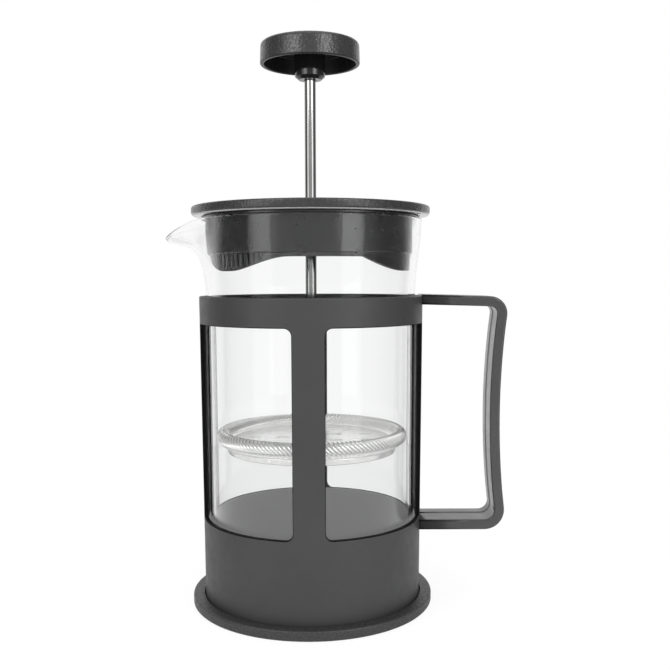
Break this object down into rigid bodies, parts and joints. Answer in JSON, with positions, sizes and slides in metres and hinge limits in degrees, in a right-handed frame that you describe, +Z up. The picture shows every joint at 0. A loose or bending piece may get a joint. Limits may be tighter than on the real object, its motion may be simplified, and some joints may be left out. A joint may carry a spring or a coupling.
{
  "type": "french press",
  "caption": "Small french press: glass beaker with a spout in a windowed plastic holder with a strap handle, flat lid with a strainer skirt, and a sliding plunger with a round knob.",
  "frame": {"origin": "centre of the underside of the foot, on the axis of the beaker", "axes": "+Z up along the plunger rod, +X towards the handle, -X towards the spout, -Y towards the viewer"},
  "size_m": [0.1132, 0.081, 0.1883],
  "materials": {
    "grey_plastic": "satin moulded polypropylene, dark grey",
    "grained_plastic": "fine spark-eroded grain, dark grey",
    "bush_plastic": "smooth acetal, near black",
    "clear_glass": "clear borosilicate, fire polished",
    "stainless_steel": "bright stainless steel",
    "stainless_mesh": "fine woven stainless wire cloth",
    "insert_brass": "knurled brass"
  },
  "bodies": {
    "holder": {"holder_frame": "grey_plastic", "handle": "grey_plastic", "base_foot": "grained_plastic"},
    "glass": {"beaker": "clear_glass"},
    "lid_guide": {"lid_bush": "bush_plastic"},
    "lid": {"lid_cover": "grained_plastic", "lid_skirt": "grey_plastic"},
    "rod": {"plunger_rod": "stainless_steel"},
    "plunger": {"knob": "grained_plastic", "knob_insert": "insert_brass", "rod_collar": "stainless_steel", "coil_spring": "stainless_steel", "spiral_plate": "stainless_steel", "mesh_screen": "stainless_mesh", "cross_plate": "stainless_steel", "cross_plate_nut": "stainless_steel"}
  },
  "joints": [
    {"name": "beaker_lift", "type": "slide", "parent": "holder", "child": "glass", "axis": [0, 0, 1], "range_m": [0, 0.11]},
    {"name": "lid_lift", "type": "slide", "parent": "glass", "child": "lid_guide", "axis": [0, 0, 1], "range_m": [0, 0.13]},
    {"name": "lid_turn", "type": "hinge", "parent": "lid_guide", "child": "lid", "pos_m": [0, 0, 0.13], "axis": [0, 0, 1], "continuous": true},
    {"name": "plunger_slide", "type": "slide", "parent": "lid_guide", "child": "rod", "axis": [0, 0, 1], "range_m": [-0.039, 0.052]},
    {"name": "plunger_turn", "type": "hinge", "parent": "rod", "child": "plunger", "pos_m": [0, 0, 0.18], "axis": [0, 0, 1], "continuous": true}
  ]
}
